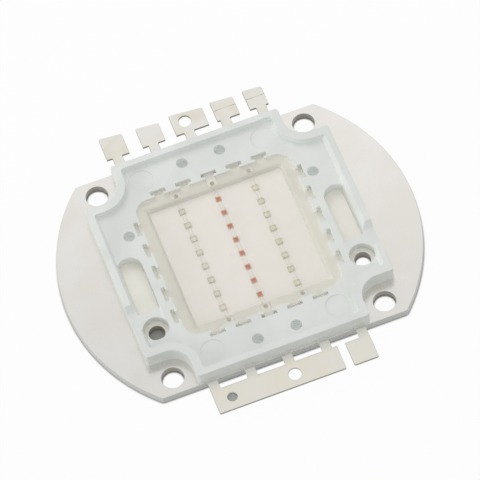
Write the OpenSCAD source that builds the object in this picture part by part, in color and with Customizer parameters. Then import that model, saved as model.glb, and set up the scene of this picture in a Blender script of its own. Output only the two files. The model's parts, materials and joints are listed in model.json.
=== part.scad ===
// High-power LED module: three strings of dies on a plated copper base, in a moulded frame
// that holds the leads, under clear silicone. Sizes are in millimetres.
// The origin is the centre of the base plate's underside. +Z points up out of the lit face,
// X runs between the plate's round ends and Y between the two rows of leads.

/* [Die tray] */
// Width of the die pocket at the ledge
pocket_w = 22.1; // [20:0.1:25]
// Width of the ledge round the pocket, which carries the lead ends
ledge_w = 1.6; // [1.4:0.05:2]
// Height of the ledge above the plate
ledge_h = 1; // [0.8:0.05:1.2]
// Corner radius of the tray
tray_r = 2.2; // [1.5:0.1:3]
// Inward slope of each pocket wall, from the ledge to the plate
pocket_slope = 0.35; // [0.1:0.05:0.5]
// Width of the bevel along the pocket's upper edge
lip_w = 0.3; // [0.1:0.05:0.4]
// Depth of that bevel
lip_h = 0.2; // [0.1:0.05:0.3]
// Number of silicone anchor slots on each side
anchor_count = 5; // [3:1:5]
// Clear length between an end slot and the tray's corner
anchor_margin = 0.95; // [0.4:0.05:1.4]
// Width of an anchor slot's neck
anchor_neck_w = 1.4; // [1:0.1:1.8]
// Length of an anchor slot's neck
anchor_neck_l = 0.4; // [0.2:0.05:0.5]
// Width of an anchor slot's head
anchor_head_w = 2.5; // [2:0.1:2.8]
// Length of an anchor slot's head
anchor_head_l = 0.65; // [0.4:0.05:0.75]
// Depth of an anchor slot's head below the ledge
anchor_depth = 0.4; // [0.1:0.05:0.6]
// Drop of the silicone's surface below the floor
fill_drop = 0.1; // [0.05:0.05:0.2]

/* [Moulded frame] */
// Width of the moulding at the two lead ends, from the tray to the outside
end_w = 7.2; // [6.6:0.1:8]
// Wall between the tray and each side window
window_wall = 2.15; // [1.7:0.05:2.6]
// Height of the rim above the plate
rim_h = 2.6; // [2.2:0.1:3.4]
// Height of the floor inside the rim, above the plate
floor_h = 1.65; // [1.5:0.05:1.9]
// Height of the pads round the locating holes, above the plate
pad_h = 1.4; // [1.2:0.05:1.5]
// Width of the rim along the straight edges
rim_w = 1.05; // [0.8:0.05:1.3]
// Run of the slope inside the rim's two sides, from its top to the floor
rim_slope = 0.5; // [0.1:0.05:0.7]
// Width of the rim round the corner cut-outs
cut_rim_w = 1.35; // [1:0.05:1.5]
// Radius of the room for a screw head round each screw hole
relief_r = 3.25; // [3:0.05:3.5]
// Rounding of the moulding's outer corners
corner_r = 0.5; // [0.2:0.1:0.8]

/* [Side windows] */
// Width of each side window at the top of the rim
window_w = 4.05; // [3.8:0.05:4.8]
// Further run of the rim's slope in the windows, from the floor to the plate
window_slope = 0.3; // [0.1:0.05:0.5]
// Reach of the window's round end from the middle
window_far = 4.05; // [3.6:0.1:4.6]
// Reach of the window's flat end from the middle
window_near = 5.8; // [5.4:0.1:6.4]
// Diameter of the openings over the locating holes
pin_opening_d = 4; // [3.4:0.1:4.2]
// Start of the low stretch of the rim, before the window's flat end
gate_lead = 1.35; // [1:0.05:2]
// Length of the low stretch of the rim
gate_l = 4.6; // [4:0.1:5.2]
// Length of the ramp at each end of the low stretch
gate_ramp = 0.75; // [0.4:0.05:1.4]

/* [Base plate] */
// Thickness of the plate
plate_t = 1.4; // [1:0.1:3]
// Reach of the plate's two flats past the moulding
plate_reach = 0.15; // [0.05:0.05:0.5]
// Edge break round the plate
plate_edge = 0.1; // [0.05:0.05:0.2]
// Width of plate from the middle of a screw hole out to the round edge
screw_rim = 3.82; // [3.4:0.02:5]
// Diameter of the four screw holes
screw_d = 3.5; // [3:0.1:4]
// Distance of the screw holes from the moulding's sides
screw_side = 2.9; // [2.6:0.05:3.2]
// Distance of the screw holes from the moulding's lead ends
screw_end = 2.65; // [2.4:0.05:3]
// Diameter of the two locating holes
pin_d = 2.5; // [2:0.1:3]
// Distance of the locating holes from the windows' flat ends
pin_gap = 3.3; // [3:0.1:3.6]
// Shift of the locating holes from the windows' middle, inwards
pin_shift = 0.225; // [0:0.025:0.3]

/* [Mould marks] */
// Diameter of the blind holes left by the hold-down pins
dimple_d = 1.8; // [1.4:0.1:2.2]
// Depth of those blind holes
dimple_depth = 1.2; // [0.4:0.1:1.4]
// Distance between the two blind holes of a pair
dimple_pitch = 6.15; // [5.6:0.05:6.8]
// Distance of each pair from its end of the moulding
dimple_end = 3.1; // [2.6:0.05:3.6]
// Distance of the side blind holes from the windows' middle, inwards
side_dimple_shift = 1.825; // [1:0.025:1.9]
// Distance of the side blind holes from the windows' round ends
side_dimple_gap = 3.45; // [2.4:0.05:4]
// Diameter of the ejector marks
ejector_d = 3.9; // [3:0.1:4.2]
// Depth of the ejector marks
ejector_depth = 0.1; // [0.05:0.05:0.2]
// Distance between the ejector marks along X
ejector_pitch = 20; // [19:0.1:20.4]
// Distance of the ejector marks from their end of the moulding
ejector_end = 3.75; // [3.4:0.05:3.9]

/* [Leads] */
// Thickness of the lead strip
lead_t = 0.4; // [0.25:0.05:0.5]
// Width of a lead finger
finger_w = 1.6; // [1.2:0.1:1.8]
// Distance of the outer fingers' buried ends from the tray
outer_finger_gap = 0.8; // [0.4:0.1:2]
// Length of each neck from the plate's flat to its tab
neck_l = 2.1; // [1.4:0.1:3]
// Length of the tabs and the joined bar
tab_l = 4.1; // [3.6:0.1:5]
// Cut off the end of the far tabs past the first, and twice that off the second
tab_trim = 0.2; // [0:0.05:0.3]
// Slant of the far tabs' ends
tab_slant = 5.5; // [0:0.5:10]
// Rounding of the tabs' free corners
tab_r = 0.25; // [0.1:0.05:0.5]
// Width of a plain tab
tab_w = 3.7; // [3.2:0.1:4]
// Width of the middle tab
wide_tab_w = 5.4; // [4.8:0.1:5.6]
// Width of the last tab
narrow_tab_w = 3.1; // [2.6:0.1:3.6]
// Width of the single tab beside the joined bar
single_tab_w = 3.9; // [3.4:0.1:4.2]
// Shift of the first two tabs off their fingers
tab_shift = 0.15; // [0:0.05:0.4]
// Shift of the next two tabs off their fingers
wide_tab_shift = 0.6; // [0:0.05:0.8]
// Shift of the last tab off its finger, the other way
last_tab_shift = 0.25; // [0:0.05:0.4]
// Reach of the joined bar past its last finger
bar_overhang = 0.75; // [0.4:0.05:0.9]
// Diameter of the wire holes in the middle tab and the joined bar
wire_hole_d = 2; // [1.4:0.1:2.4]
// Diameter of the smaller hole in the joined bar
mark_hole_d = 1.55; // [1:0.05:2]
// Distance of the smaller hole from the bar's end
mark_hole_in = 2.7; // [2:0.05:4]
// Angle of the fold across the last two tabs
fold_angle = 7; // [1:1:20]
// Distance of the fold from the neck
fold_l = 1.95; // [1.4:0.05:2.4]

/* [Dies and wires] */
// Number of dies in each string
die_count = 8; // [2:1:10]
// Distance of the end dies' middles from the pocket's edge
die_margin = 1.95; // [1.7:0.05:2.4]
// Width of the blue and green dies
die_w = 1; // [0.9:0.05:1.3]
// Width of the red dies
red_die_w = 0.85; // [0.8:0.05:1.3]
// Thickness of the dies
die_t = 0.14; // [0.1:0.01:0.25]
// Shift of the green string towards the joined leads
green_shift = 0.3; // [0:0.05:0.4]
// Diameter of a bond wire
wire_d = 0.05; // [0.03:0.01:0.08]
// Distance between the two wires of a pair
wire_gap = 0.5; // [0.3:0.05:0.6]
// Distance of a wire's foot from the middle of its die
wire_foot = 0.3; // [0.2:0.05:0.35]
// Rise of a wire's loop between two dies
loop_h = 0.3; // [0.2:0.05:0.5]
// Rise of a wire's loop from a die to its lead
end_loop_h = 0.55; // [0.45:0.05:0.7]
// Distance of the stitch pads from the ends of the fingers
stitch_gap = 0.05; // [0.05:0.05:0.3]
// Width of the stitch pad on a lead
stitch_w = 0.7; // [0.55:0.05:0.9]
// Thickness of the stitch pad
stitch_t = 0.06; // [0.03:0.01:0.1]

/* [Hidden] */
$fn = 48;
// Overshoot of a cut past the face that it opens, and overlap of joined stretches
over = 0.5;
z_lead = plate_t + ledge_h - lead_t;
z_ledge = plate_t + ledge_h;
z_pad = plate_t + pad_h;
z_floor = plate_t + floor_h;
z_rim = plate_t + rim_h;
z_fill = z_floor - fill_drop;
z_die = plate_t + die_t;
z_stitch = z_ledge + stitch_t;
// Plan sizes, from the pocket outwards
tray_w = pocket_w + 2*ledge_w;
frame_x = tray_w + 2*(window_wall + window_w + rim_w);
frame_y = tray_w + 2*end_w;
screw_x = frame_x/2 - screw_side;
screw_y = frame_y/2 - screw_end;
half_w = frame_y/2 + plate_reach;
plate_r = norm([screw_x, screw_y]) + screw_rim;
window_x = tray_w/2 + window_wall + window_w/2;
pin_x = window_x - pin_shift;
pin_y = window_near + pin_gap;
gate_far = window_near - gate_lead;
gate_near = gate_far + gate_l;
anchor_pitch = (tray_w - 2*(tray_r + anchor_margin) - anchor_head_w)/(anchor_count - 1);
die_pitch = (pocket_w - 2*die_margin)/(die_count - 1);
finger_count = 5;
// The outer fingers line up with the tray's sides, and the strings with the fingers
finger_pitch = (tray_w - finger_w)/(finger_count - 1);
// Fingers counted from 0 at the left: the middle one, the last on the joined bar, and the
// first far one whose tab has a fold
MIDDLE = 2;
LAST_JOINED = 3;
FIRST_FOLDED = 3;
// Inner end of the inner fingers, at the bevel of the pocket
finger_end = pocket_w/2 + lip_w;
// Inner faces of the rim's two sides at its top
rim_x = frame_x/2 - rim_w;
stitch_y = finger_end + stitch_gap + stitch_w/2;
tab_y = half_w + neck_l;
fold_y = tab_y + fold_l;
hole_y = tab_y + tab_l/2;
bar_right = finger_x(LAST_JOINED) + finger_w/2 + bar_overhang;
bar_left = finger_x(0) - finger_w/2;
// Widths and lengths of the far tabs, and how far each sits off its finger
TAB_W = [tab_w, tab_w, wide_tab_w, tab_w, narrow_tab_w];
TAB_L = [tab_l, tab_l - 2*tab_trim, tab_l - tab_trim, tab_l - tab_trim, tab_l - tab_trim];
TAB_SHIFT = [tab_shift, tab_shift, wide_tab_shift, wide_tab_shift, -last_tab_shift];
// One row for each string: name, place along X, shift along Y, die width, colour
STRINGS = [
    ["blue", -finger_pitch, 0, die_w, "lightslategray"],
    ["red", 0, 0, red_die_w, "orangered"],
    ["green", finger_pitch, -green_shift, die_w, "darkkhaki"],
];
DIES = [for (s = STRINGS, i = [1 : die_count]) str(s[0], "_die_", i)];

function finger_x(i) = (i - (finger_count - 1)/2)*finger_pitch;
// Inner end of a finger: only the inner ones reach the tray
function finger_start(i) =
    abs(i - MIDDLE) < MIDDLE ? finger_end : tray_w/2 + outer_finger_gap;
function die_y(string, i) = string[2] + ((die_count + 1)/2 - i)*die_pitch;
// Radius of the arc over a chord that rises by sag at its middle
function arc_r(chord, sag) = (chord*chord/4 + sag*sag)/(2*sag);

// A rectangle with round corners
module rounded_rect(x, y, r) {
    square([x - 2*r, y], center = true);
    square([x, y - 2*r], center = true);
    for (sx = [-1, 1], sy = [-1, 1])
        translate([sx*(x/2 - r), sy*(y/2 - r)])
            circle(r);
}

// Stretches a profile drawn in Y and Z along X, centred
module along_x(length) {
    rotate([90, 0, 90])
        linear_extrude(length, center = true)
            children();
}

// Places its children at each screw hole
module at_screws() {
    for (sx = [-1, 1], sy = [-1, 1])
        translate([sx*screw_x, sy*screw_y])
            children();
}

// Plate's edge in section at the given reach, from the underside up, with its corners broken
function plate_rim(reach) = [
    [reach - plate_edge, 0],
    [reach, plate_edge],
    [reach, plate_t - plate_edge],
    [reach - plate_edge, plate_t],
];

module base_plate() {
    color("gainsboro")
    difference() {
        intersection() {
            rotate_extrude($fn = 128)
                polygon(concat([[0, 0]], plate_rim(plate_r), [[0, plate_t]]));
            along_x(2*(plate_r + over))
                polygon(concat(plate_rim(half_w), [for (p = plate_rim(half_w)) [-p.x, plate_t - p.y]]));
        }
        at_screws()
            translate([0, 0, -over])
                cylinder(d = screw_d, h = plate_t + 2*over);
        for (side = [-1, 1])
            translate([side*pin_x, -pin_y, -over])
                cylinder(d = pin_d, h = plate_t + 2*over);
    }
}

// Plan of the moulding: a rectangle whose corners give way to the screw heads, drawn in from
// its straight edges and from its corner cut-outs by the two given widths
module frame_plan(edge_in, cut_in) {
    r = relief_r + cut_in;
    rounded_rect(frame_x - 2*edge_in, 2*(screw_y - r), corner_r);
    rounded_rect(2*(screw_x - r), frame_y - 2*edge_in, corner_r);
    difference() {
        square(2*[screw_x, screw_y], center = true);
        at_screws()
            circle(r);
    }
}

// Places its children at the mouth of each anchor slot, with +Y away from the tray
module at_anchors() {
    for (side = [0 : 3])
        rotate(90*side)
            for (i = [0 : anchor_count - 1])
                translate([(i - (anchor_count - 1)/2)*anchor_pitch, tray_w/2])
                    children();
}

// Plan of the tray above the ledge, with the necks of its anchor slots
module tray_plan() {
    rounded_rect(tray_w, tray_w, tray_r);
    at_anchors()
        translate([-anchor_neck_w/2, -over])
            square([anchor_neck_w, over + anchor_neck_l + anchor_head_l/2]);
}

// Section through the tapered die pocket, from the given bottom up to the ledge
module pocket_section(bottom) {
    foot = pocket_w/2 - pocket_slope;
    edge = pocket_w/2;
    bevel = edge + lip_w;
    polygon([
        [-foot, bottom],
        [foot, bottom],
        [foot, plate_t],
        [edge, z_ledge - lip_h],
        [bevel, z_ledge],
        [-bevel, z_ledge],
        [-edge, z_ledge - lip_h],
        [-foot, plate_t],
    ]);
}

// The hollow for the dies: the tray over the pocket, and the heads of the anchor slots, which
// go deeper than the ledge
module die_hollow(bottom, top) {
    translate([0, 0, z_ledge])
        linear_extrude(top - z_ledge)
            tray_plan();
    translate([0, 0, z_ledge - anchor_depth])
        linear_extrude(top - z_ledge + anchor_depth)
            at_anchors()
                translate([-anchor_head_w/2, anchor_neck_l])
                    square([anchor_head_w, anchor_head_l]);
    intersection() {
        along_x(tray_w)
            pocket_section(bottom);
        rotate(90)
            along_x(tray_w)
                pocket_section(bottom);
    }
}

// One side window and the room over its pad
module window_room(side) {
    translate([side*window_x, 0]) {
        translate([0, 0, plate_t - over])
            linear_extrude(rim_h + 2*over) {
                translate([-window_w/2, -window_near])
                    square([window_w, window_near + window_far - window_w/2]);
                translate([0, window_far - window_w/2])
                    circle(window_w/2);
            }
        translate([0, 0, z_pad])
            linear_extrude(rim_h) {
                translate([-window_w/2, -pin_y])
                    square([window_w, pin_gap + over]);
                translate([0, -pin_y])
                    circle(window_w/2);
            }
    }
}

// The sloped inner sides of the rim, which reach down to the plate in the windows
module side_slopes() {
    for (turn = [-90, 90])
        rotate(turn)
            along_x(frame_y)
                polygon([
                    [rim_x + over, z_rim],
                    [rim_x, z_rim],
                    [rim_x - rim_slope, z_floor],
                    [rim_x - rim_slope - window_slope, plate_t],
                    [rim_x - rim_slope - window_slope, plate_t - 2*over],
                    [rim_x + over, plate_t - 2*over],
                ]);
}

// The room inside the rim, with the windows and pads
module rim_room() {
    difference() {
        union() {
            translate([0, 0, z_floor])
                linear_extrude(rim_h)
                    frame_plan(rim_w, cut_rim_w);
            for (side = [-1, 1])
                window_room(side);
        }
        side_slopes();
    }
}

// Further cuts of one side: the opening over the locating hole and the low stretch of the rim
module side_cuts(side) {
    gate_w = rim_w + rim_slope + window_slope;
    translate([side*pin_x, -pin_y, plate_t - over])
        cylinder(d = pin_opening_d, h = rim_h + 2*over);
    translate([side*(frame_x/2 - gate_w/2 + over/2), 0])
        along_x(gate_w + over)
            polygon([
                [-gate_far, z_rim + over],
                [-gate_far, z_rim],
                [-gate_far - gate_ramp, z_pad],
                [-gate_near + gate_ramp, z_pad],
                [-gate_near, z_rim],
                [-gate_near, z_rim + over],
            ]);
}

// Blind holes and ejector marks in the floor
module mould_marks() {
    for (sx = [-1, 1], sy = [-1, 1]) {
        translate([sx*dimple_pitch/2, sy*(frame_y/2 - dimple_end), z_floor - dimple_depth])
            cylinder(d = dimple_d, h = dimple_depth + over);
        translate([sx*ejector_pitch/2, sy*(frame_y/2 - ejector_end), z_floor - ejector_depth])
            cylinder(d = ejector_d, h = ejector_depth + over);
    }
    for (side = [-1, 1])
        translate([side*(window_x - side_dimple_shift), window_far + side_dimple_gap])
            translate([0, 0, z_floor - dimple_depth])
                cylinder(d = dimple_d, h = dimple_depth + over);
}

module moulded_frame() {
    color("azure")
    difference() {
        translate([0, 0, plate_t])
            linear_extrude(rim_h)
                frame_plan(0, 0);
        rim_room();
        die_hollow(plate_t - over, z_rim);
        for (side = [-1, 1])
            side_cuts(side);
        mould_marks();
        lead_fingers();
    }
}

// Plan of a lead finger, from its inner end out to the given reach
module finger_plan(i, reach) {
    translate([finger_x(i) - finger_w/2, finger_start(i)])
        square([finger_w, reach - finger_start(i)]);
}

// All lead fingers, out to the frame's two ends and a little past them
module lead_fingers() {
    for (row = [0, 1], i = [0 : finger_count - 1])
        mirror([0, row])
            translate([0, 0, z_lead])
                linear_extrude(lead_t)
                    finger_plan(i, frame_y/2 + over);
}

// Plan of a tab with two rounded free corners and, where it is given, a slanted end
module tab_plan(left, width, length, slant = 0) {
    near_end = [tab_r, length - tab_r];
    far_end = [width - tab_r, length - tab_r - (width - 2*tab_r)*tan(slant)];
    bulge = tab_r*[sin(slant), cos(slant)];
    translate([left, tab_y]) {
        polygon([
            [0, 0],
            [width, 0],
            [width, far_end.y],
            far_end + bulge,
            near_end + bulge,
            [0, near_end.y],
        ]);
        for (corner = [near_end, far_end])
            translate(corner)
                circle(tab_r);
    }
}

// Plan of one far lead
module far_lead_plan(i) {
    difference() {
        union() {
            finger_plan(i, tab_y + over);
            tab_plan(finger_x(i) + TAB_SHIFT[i] - TAB_W[i]/2, TAB_W[i], TAB_L[i], tab_slant);
        }
        if (i == MIDDLE)
            translate([finger_x(i), hole_y])
                circle(d = wire_hole_d);
    }
}

// The part of a plan that lies within a band along Y
module band(from, to) {
    intersection() {
        children();
        translate([-plate_r, from])
            square([2*plate_r, to - from]);
    }
}

module far_lead(i) {
    color("lightgray")
    translate([0, 0, z_ledge])
        if (i < FIRST_FOLDED) {
            translate([0, 0, -lead_t])
                linear_extrude(lead_t)
                    far_lead_plan(i);
        } else {
            translate([0, 0, -lead_t])
                linear_extrude(lead_t)
                    band(0, fold_y)
                        far_lead_plan(i);
            translate([0, fold_y])
                rotate([-fold_angle, 0, 0])
                    translate([0, -fold_y, -lead_t])
                        linear_extrude(lead_t)
                            band(fold_y, tab_y + tab_l)
                                far_lead_plan(i);
        }
}

module joined_lead() {
    color("lightgray")
    translate([0, 0, z_lead])
        linear_extrude(lead_t)
            mirror([0, 1])
                difference() {
                    union() {
                        for (i = [0 : LAST_JOINED])
                            finger_plan(i, tab_y + over);
                        tab_plan(bar_left, bar_right - bar_left, tab_l);
                    }
                    translate([finger_x(MIDDLE), hole_y])
                        circle(d = wire_hole_d);
                    translate([bar_left + mark_hole_in, hole_y])
                        circle(d = mark_hole_d);
                }
}

module single_lead() {
    last = LAST_JOINED + 1;
    color("lightgray")
    translate([0, 0, z_lead])
        linear_extrude(lead_t)
            mirror([0, 1]) {
                finger_plan(last, tab_y + over);
                tab_plan(finger_x(last) + finger_w/2 - single_tab_w, single_tab_w, tab_l);
            }
}

module die(string, i) {
    color(string[4])
    translate([string[1] - string[3]/2, die_y(string, i) - string[3]/2, plate_t])
        cube([string[3], string[3], die_t]);
}

// One wire loop in the plane of Y and Z, from the foot with the lower Y to the other, a little
// longer than it needs to be at each end
module wire_loop(y1, z1, y2, z2, sag) {
    chord = norm([y2 - y1, z2 - z1]);
    r = arc_r(chord, sag);
    slope = atan2(z2 - z1, y2 - y1);
    half_angle = asin(chord/2/r) + asin(wire_d/r);
    translate([0, (y1 + y2)/2, (z1 + z2)/2])
        rotate([slope, 0, 0])
            translate([0, 0, sag - r])
                rotate([90, 0, 90])
                    rotate([0, 0, 90 - half_angle])
                        rotate_extrude(angle = 2*half_angle)
                            translate([r, 0])
                                circle(d = wire_d, $fn = 16);
}

// The room above the dies and, past the pocket's edge, above the stitch pads
module wire_room() {
    along_x(2*plate_r)
        polygon([
            [-stitch_y - stitch_w, z_stitch],
            [-finger_end, z_stitch],
            [-finger_end, z_die],
            [finger_end, z_die],
            [finger_end, z_stitch],
            [stitch_y + stitch_w, z_stitch],
            [stitch_y + stitch_w, z_rim],
            [-stitch_y - stitch_w, z_rim],
        ]);
}

// Two wires over each gap of a string and from its ends to the leads, with the stitch pads
module bond_wires(string) {
    color("gold")
    translate([string[1], 0]) {
        intersection() {
            for (x = [-wire_gap/2, wire_gap/2])
                translate([x, 0]) {
                    for (i = [1 : die_count - 1])
                        wire_loop(
                            die_y(string, i + 1) + wire_foot, z_die,
                            die_y(string, i) - wire_foot, z_die,
                            loop_h
                        );
                    wire_loop(die_y(string, 1) + wire_foot, z_die, stitch_y, z_stitch, end_loop_h);
                    wire_loop(
                        -stitch_y, z_stitch,
                        die_y(string, die_count) - wire_foot, z_die,
                        end_loop_h
                    );
                }
            wire_room();
        }
        for (side = [-1, 1])
            translate([-stitch_w/2, side*stitch_y - stitch_w/2, z_ledge])
                cube([stitch_w, stitch_w, stitch_t]);
    }
}

module silicone() {
    color("cornsilk", 0.4)
    difference() {
        die_hollow(plate_t, z_fill);
        for (s = STRINGS) {
            for (i = [1 : die_count])
                die(s, i);
            bond_wires(s);
        }
        lead_fingers();
    }
}

base_plate();
moulded_frame();
for (i = [1 : finger_count])
    far_lead(i - 1);
joined_lead();
single_lead();
for (s = STRINGS, i = [1 : die_count])
    die(s, i);
for (s = STRINGS)
    bond_wires(s);
silicone();
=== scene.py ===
"""Looks of a chip-on-board LED module, laid over its packed CAD model.

Sizes are in metres, in the CAD model's own frame: the origin is the middle of the base plate's
underside, +Z leaves the lit face, and Y runs between the two rows of leads.
"""

import json
import math

import bmesh
import bpy
from bpy.props import FloatProperty, FloatVectorProperty, PointerProperty
from mathutils import Matrix, Vector


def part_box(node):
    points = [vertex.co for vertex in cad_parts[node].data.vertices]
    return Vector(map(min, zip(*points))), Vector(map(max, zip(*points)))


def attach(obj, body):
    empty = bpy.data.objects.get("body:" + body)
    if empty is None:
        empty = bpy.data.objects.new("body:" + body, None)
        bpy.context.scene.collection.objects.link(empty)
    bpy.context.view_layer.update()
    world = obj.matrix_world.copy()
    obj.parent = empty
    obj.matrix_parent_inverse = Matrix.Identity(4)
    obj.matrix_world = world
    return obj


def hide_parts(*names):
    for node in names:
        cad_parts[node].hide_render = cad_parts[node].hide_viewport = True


bl_info = {
    "name": "LED module looks",
    "version": (1, 0, 0),
    "blender": (4, 5, 0),
    "location": "3D View > Sidebar > LED module",
    "description": "Dresses the CAD model of a chip-on-board LED module and sets up its studio",
    "category": "Object",
}

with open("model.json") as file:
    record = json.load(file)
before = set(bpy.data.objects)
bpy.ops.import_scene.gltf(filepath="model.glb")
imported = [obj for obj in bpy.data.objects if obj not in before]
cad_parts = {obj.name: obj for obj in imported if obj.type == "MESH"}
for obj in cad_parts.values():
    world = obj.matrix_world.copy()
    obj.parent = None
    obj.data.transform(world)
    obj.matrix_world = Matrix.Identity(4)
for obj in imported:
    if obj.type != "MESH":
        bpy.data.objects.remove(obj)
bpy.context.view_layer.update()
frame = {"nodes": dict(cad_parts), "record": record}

MM = 0.001
NODES = frame["nodes"]
MOUNTS = {mount["name"]: mount for mount in frame["record"]["mounts"]}
STRINGS = ("blue", "red", "green")
FAR_LEADS = [name for name in sorted(NODES) if name.startswith("far_lead")]
NEAR_LEADS = ["joined_lead", "single_lead"]
PLATE_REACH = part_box("base_plate")[1]
PLATE_TOP = PLATE_REACH.z
RIM_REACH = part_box("moulded_frame")[1].x
RIM_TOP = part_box("moulded_frame")[1].z
LEAD_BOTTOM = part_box("single_lead")[0].z
LEAD_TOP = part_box("single_lead")[1].z
FILL_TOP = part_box("silicone")[1].z
PIN_Y = MOUNTS["locating_holes"]["pos_m"][1]
# Reach from the middle to the outer end of the tray's anchor slots
TRAY_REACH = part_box("silicone")[1].x

# Vertices closer than this are one vertex
MERGE_DISTANCE = 0.001 * MM
# Faces that meet at less than this are one flat face
FLAT_ANGLE = math.radians(0.5)
# Edges that meet at more than this get rounded
SHARP_ANGLE = math.radians(25)
# Edges that turn by less run straight on, and those that turn by more meet at a corner
STRAIGHT_ANGLE = math.radians(0.1)
CURVE_ANGLE = math.radians(60)
# Length at the ends of an edge where a tight corner may narrow its rounding
END_LENGTH = 0.8 * MM
# Edges longer than this many such ends are cut there
ENDS_TO_CUT = 3
# Share of the room at an edge that its rounding may take
ROOM_SHARE = 0.4
# A neighbour limits that room if it leaves the edge's line by this share of its length
LEAVING_SHARE = 0.5
# A rounding narrower than this is left out
LEAST_RADIUS = 0.02 * MM
# Steps across a rounding
ROUND_STEPS = 3
# Weight with which the larger of two faces sets the shading at their edge
FACE_WEIGHT = 100
# Faces that meet at more than this keep a crease
PLATE_CREASE = math.radians(32)
MOULDING_CREASE = math.radians(35)
LEAD_CREASE = math.radians(6)
# A lead's bend is between these
FOLD_LEAST = math.radians(3)
FOLD_LIMIT = math.radians(12)
# An edge of the moulding that rises by more than this is upright
UPRIGHT_RISE = 0.2 * MM
# Upright edges within this reach belong to the die pocket
POCKET_LIMIT = TRAY_REACH - 2 * MM
# Floors outside this reach belong to the anchor slots
SLOT_LIMIT = TRAY_REACH - 1 * MM
# A face looks down if its normal's Z is less than this
LOOKS_DOWN = -0.9
# Corners of a square, anticlockwise
SQUARE = ((-1, -1), (1, -1), (1, 1), (-1, 1))

# Rays that measure how open a place is
OPENNESS_RAYS = 16
# Share of the plating's metal that sheared walls show
SHEARED_METAL = 0.15
# Size of the patches on matt plating, and of the haze in the silicone
MATT_PATCH_SIZE = 4 * MM
HAZE_SIZE = 6 * MM
# Shares of X, Y and Z that draw out the rolling lines along Y
DRAWN_OUT = (1.0, 0.03, 0.3)
# Direction in which the painted shade on the base plate's plating fades, so that the plating gets
# brighter that way
SHADE_FADING_WAY = (0.37, 0.93, 0)
# Walls of the plate that lie inside its outline by more than this belong to holes
BORE_MARGIN = 0.5 * MM
# Powers that hold back the painted light in hollows in the rim and in blind holes
RIM_POWER = 2.0
BLIND_POWER = 4.0
# Operations on vectors that give a number
NUMBER_OPERATIONS = ("DISTANCE", "DOT_PRODUCT", "LENGTH")

# Width of the camera's sensor in millimetres, as Blender takes it
SENSOR_WIDTH = 36
# Distances between which the camera sees
NEAREST_SEEN = 0.01
FARTHEST_SEEN = 20
FLOOR_SIZE = 3
# Gap between the floor and the plate's underside
FLOOR_GAP = 0.01 * MM
# The painted shade on the floor under a locating hole fades between these, in the hole's radii
PIN_PAINTED_SHADE = (1.15, 1.4)
# Radius of the grey card of painted shade, in those of the hole above it, and its gap to the bar
SHADE_CARD_SPREAD = 1.3
SHADE_CARD_GAP = 0.05 * MM
# Name, setting for the power, diameter and place of each lamp
LAMPS = (
    ("Soft lamp", "key", 0.12, (-0.02, 0.12, 0.12)),
    ("Front lamp", "front", 0.15, (0.08, -0.3, 0.145)),
    ("Side lamp", "side", 0.3, (-0.52, 0.04, 0.06)),
)

# Shader node groups by the functions that build them
GROUPS = {}


def display(red, green, blue):
    """A colour as a screen shows it, from 0 to 255, as Blender's linear colour."""
    shares = (red / 255, green / 255, blue / 255)
    return tuple(s / 12.92 if s <= 0.04045 else ((s + 0.055) / 1.055) ** 2.4 for s in shares)


def length(name, description, millimetres):
    """A setting for a length, given in millimetres."""
    return FloatProperty(name=name, description=description, default=millimetres * MM,
                         min=0, precision=6, unit="LENGTH")


def colour(name, description, red, green, blue):
    """A setting for a colour, given as a screen shows it."""
    return FloatVectorProperty(name=name, description=description, subtype="COLOR", size=3,
                               min=0, max=1, default=display(red, green, blue))


def share(name, description, default, most=1.0):
    """A setting for a share."""
    return FloatProperty(name=name, description=description, default=default,
                         min=0, max=most, subtype="FACTOR")


def angle(name, description, degrees):
    """A setting for an angle, given in degrees."""
    return FloatProperty(name=name, description=description, default=math.radians(degrees),
                         subtype="ANGLE", unit="ROTATION")


def power(name, description, watts):
    """A setting for a lamp's power."""
    return FloatProperty(name=name, description=description, default=watts, min=0, unit="POWER")


class LED_PG_plate(bpy.types.PropertyGroup):
    """Finish of the base plate"""

    face: colour("Face", "Plated face of the copper base", 247, 244, 240)
    patch: colour("Patch", "Warmer patches in the plating", 244, 240, 234)
    # Painted shade: tint that darkens the plating towards the near side
    near_painted_shade: colour("Near dulling", "Tint of the plating towards the near side", 239, 240, 240)
    wall: colour("Wall", "Sheared walls", 203, 203, 197)
    # Painted shade on the walls of the holes
    bore_shade: colour("Bore", "Walls of the holes", 164, 160, 150)
    die_pad: colour("Die pad", "Matt face under the dies", 240, 242, 244)
    die_pad_patch: colour("Die pad patch", "Darker patches under the dies", 238, 240, 240)
    patch_size: length("Patch size", "Size of the patches in the plating", 9)
    scratch_gap: length("Scratch gap", "Distance between the fine rolling lines", 0.12)
    roughness: share("Roughness", "Roughness of the plated face", 0.24)
    window: colour("Window face", "Matt face in the side windows", 242, 240, 231)
    window_patch: colour("Window patch", "Darker patches in the side windows", 239, 237, 227)
    # Painted light: paler window face close to the moulding, where the moulding's shade falls
    window_painted_light: colour("Window shade", "Window face close to the moulding", 250, 246, 236)
    # Reach from the moulding of that painted light
    painted_light_reach: length("Seep", "Distance from the moulding over which the window face is paler", 2.5)
    edge: length("Edge", "Rounding of the plate's edges", 0.06)


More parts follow.
